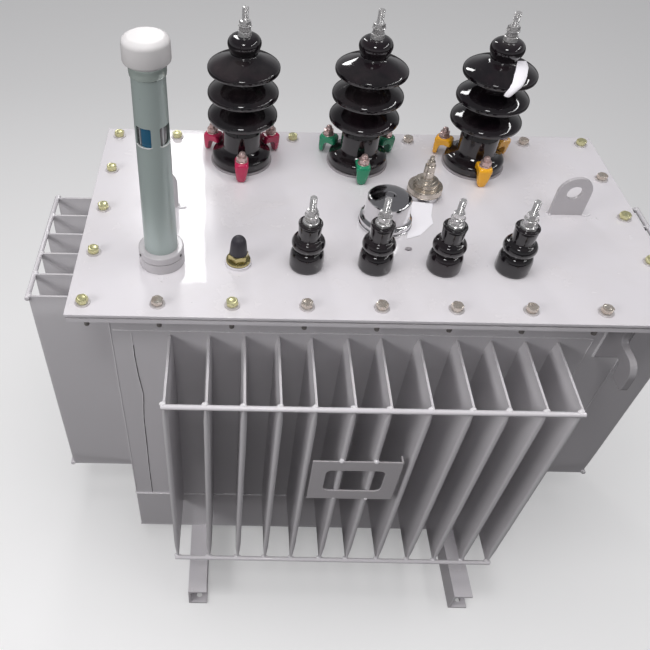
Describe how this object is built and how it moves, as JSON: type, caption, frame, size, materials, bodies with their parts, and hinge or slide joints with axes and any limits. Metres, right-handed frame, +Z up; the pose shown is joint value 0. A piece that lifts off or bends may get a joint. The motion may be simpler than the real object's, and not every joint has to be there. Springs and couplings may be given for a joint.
{
  "type": "power transformer",
  "caption": "Oil-filled distribution transformer with a corrugated tank on two channel skids, brown porcelain bushings, claw clamps, oil gauge, relief valve and tap-changer cup.",
  "frame": {"origin": "on the floor under the middle of the tank, at the middle of the overall box", "axes": "+Z up, -Y towards the front with the low-voltage bushings and the name-plate bracket, +X to the right seen from the front"},
  "size_m": [1.2374, 0.774, 1.2487],
  "materials": {
    "grey_paint": "light warm grey gloss enamel, thin at weld spatter and bolt edges",
    "dark_rubber": "black rubber, dull",
    "brown_glaze": "dark brown glazed porcelain, very glossy",
    "zinc_steel": "zinc-plated steel",
    "red_paint": "crimson gloss enamel over a cast surface",
    "green_paint": "green gloss enamel over a cast surface",
    "yellow_paint": "yellow gloss enamel over a cast surface",
    "tube_paint": "grey-green metallic enamel",
    "blue_glass": "clear gauge tube with blue light behind it",
    "white_plastic": "moulded white plastic, satin",
    "yellow_brass": "machined brass",
    "chrome_plate": "bright plated pressing",
    "nickel_plate": "nickel-plated turned brass"
  },
  "bodies": {
    "root": {"skid_left": "grey_paint", "skid_right": "grey_paint", "tank_floor": "grey_paint", "front_wall": "grey_paint", "back_wall": "grey_paint", "left_wall": "grey_paint", "right_wall": "grey_paint", "tank_rim": "grey_paint", "cover_gasket": "dark_rubber", "cover": "grey_paint", "cover_lug_left": "grey_paint", "cover_lug_right": "grey_paint", "lifting_hook_front": "grey_paint", "lifting_hook_back": "grey_paint", "nameplate_bracket": "grey_paint", "hv_porcelain_1": "brown_glaze", "hv_porcelain_2": "brown_glaze", "hv_porcelain_3": "brown_glaze", "hv_stud_1": "zinc_steel", "hv_stud_2": "zinc_steel", "hv_stud_3": "zinc_steel", "hv_claw_1_front": "red_paint", "hv_claw_1_right": "red_paint", "hv_claw_1_left": "red_paint", "hv_claw_2_front": "green_paint", "hv_claw_2_right": "green_paint", "hv_claw_2_left": "green_paint", "hv_claw_3_front": "yellow_paint", "hv_claw_3_right": "yellow_paint", "hv_claw_3_left": "yellow_paint", "lv_porcelain_1": "brown_glaze", "lv_porcelain_2": "brown_glaze", "lv_porcelain_3": "brown_glaze", "lv_porcelain_4": "brown_glaze", "lv_stud_1": "zinc_steel", "lv_stud_2": "zinc_steel", "lv_stud_3": "zinc_steel", "lv_stud_4": "zinc_steel", "gauge_socket": "grey_paint", "gauge_tube": "tube_paint", "gauge_glass": "blue_glass", "gauge_collar": "tube_paint", "gauge_cap": "white_plastic", "pocket_plug": "yellow_brass", "pocket_cap": "dark_rubber", "tap_changer_cup": "chrome_plate", "relief_valve": "nickel_plate"}
  },
  "joints": []
}
